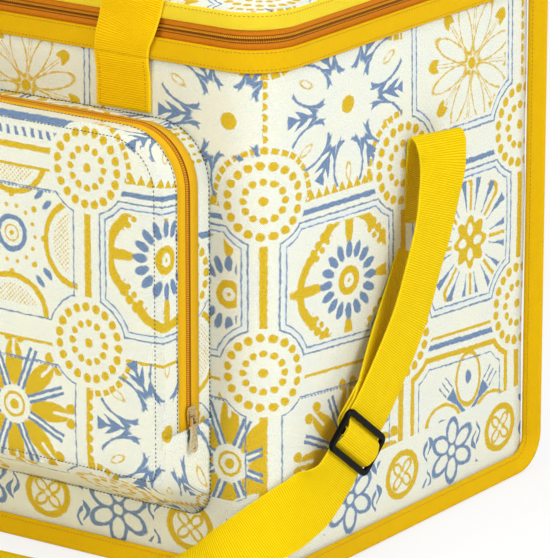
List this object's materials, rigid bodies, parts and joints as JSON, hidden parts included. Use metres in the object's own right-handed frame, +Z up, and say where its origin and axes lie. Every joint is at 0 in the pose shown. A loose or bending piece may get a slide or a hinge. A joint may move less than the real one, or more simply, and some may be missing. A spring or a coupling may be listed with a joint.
{
  "type": "cooler bag",
  "caption": "Soft cooler bag: padded box body with a zipped lid, a zipped front pocket, webbing carry handles and a webbing shoulder strap threaded through a tri-glide buckle.",
  "frame": {"origin": "centre of the body's plan, on the ground under the base", "axes": "+X to the bag's right as the front is looked at, +Y from the front to the back, +Z up"},
  "size_m": [0.4447, 0.4045, 0.4327],
  "materials": {
    "print": "printed woven polyester with a traditional tile pattern, matt",
    "trim": "yellow woven binding and bands, matt",
    "webbing": "yellow ribbed polyester webbing, slightly silky",
    "zip_tape": "orange-brown zip tape with its coil, matt",
    "metal": "pale gold plated zinc, polished",
    "plastic": "black moulded acetal, glossy",
    "foam": "closed-cell foam padding",
    "liner": "silver grey wipe-clean film",
    "board": "stiff plastic base board"
  },
  "bodies": {
    "bag": {"front_side_wrap": "print", "back_base_panel": "print", "wall_foam": "foam", "base_board": "board", "base_foam": "foam", "back_foam": "foam", "liner_tub": "liner", "seam_binding": "trim", "lower_zip_band": "trim", "zip_tape_lower": "zip_tape", "hinge_strip": "trim", "handle_leg_front_left": "webbing", "handle_leg_front_right": "webbing", "handle_leg_back_left": "webbing", "handle_leg_back_right": "webbing", "pocket_gusset_lower": "print", "pocket_gusset_rear": "print", "pocket_gusset_front": "print", "pocket_zip_tape_rear": "zip_tape", "pocket_zip_tape_front": "zip_tape", "pocket_front_panel": "print", "pocket_zip_stop_left": "metal", "pocket_zip_stop_right": "metal", "tri_glide": "plastic", "shoulder_strap": "webbing"},
    "lid": {"lid_top_panel": "print", "lid_foam": "foam", "lid_liner": "liner", "upper_zip_band": "trim", "zip_tape_upper": "zip_tape"},
    "handle_front": {"front_handle": "webbing"},
    "handle_back": {"back_handle": "webbing"},
    "slider_left": {"main_slider_left": "metal"},
    "pull_left": {"main_pull_left": "metal"},
    "slider_right": {"main_slider_right": "metal"},
    "pull_right": {"main_pull_right": "metal"},
    "slider_pocket": {"pocket_slider": "metal"},
    "pull_pocket": {"pocket_pull": "metal"}
  },
  "joints": [
    {"name": "lid_hinge", "type": "hinge", "parent": "bag", "child": "lid", "pos_m": [0, 0.1428, 0.345], "axis": [-1, 0, 0], "range_deg": [0, 105], "deforming": ["hinge_strip"]},
    {"name": "back_handle_swing", "type": "hinge", "parent": "bag", "child": "handle_back", "pos_m": [0, 0.14665, 0.31915], "axis": [-1, 0, 0], "range_deg": [0, 105]},
    {"name": "front_handle_swing", "type": "hinge", "parent": "bag", "child": "handle_front", "pos_m": [0, -0.14665, 0.31915], "axis": [1, 0, 0], "range_deg": [0, 90], "stiffness_Nm_per_rad": 0.1, "springref_deg": -4.58},
    {"name": "left_slider_run", "type": "slide", "parent": "bag", "child": "slider_left", "axis": [-1, 0, 0], "range_m": [0, 0.0185]},
    {"name": "left_pull_swing", "type": "hinge", "parent": "slider_left", "child": "pull_left", "pos_m": [-0.047, -0.14585, 0.3385], "axis": [-1, 0, 0], "range_deg": [0, 150]},
    {"name": "right_slider_run", "type": "slide", "parent": "bag", "child": "slider_right", "axis": [1, 0, 0], "range_m": [0, 0.0985]},
    {"name": "right_pull_swing", "type": "hinge", "parent": "slider_right", "child": "pull_right", "pos_m": [-0.033, -0.14585, 0.3385], "axis": [-1, 0, 0], "range_deg": [0, 150]},
    {"name": "pocket_slider_run", "type": "slide", "parent": "bag", "child": "slider_pocket", "axis": [0, 0, 1], "range_m": [0, 0.128]},
    {"name": "pocket_pull_swing", "type": "hinge", "parent": "slider_pocket", "child": "pull_pocket", "pos_m": [0.16327, -0.1657, 0.1106], "axis": [0, -1, 0], "range_deg": [0, 140]}
  ],
  "couplings": [
    {"joint": "back_handle_swing", "follows": "lid_hinge", "ratio": 1}
  ]
}
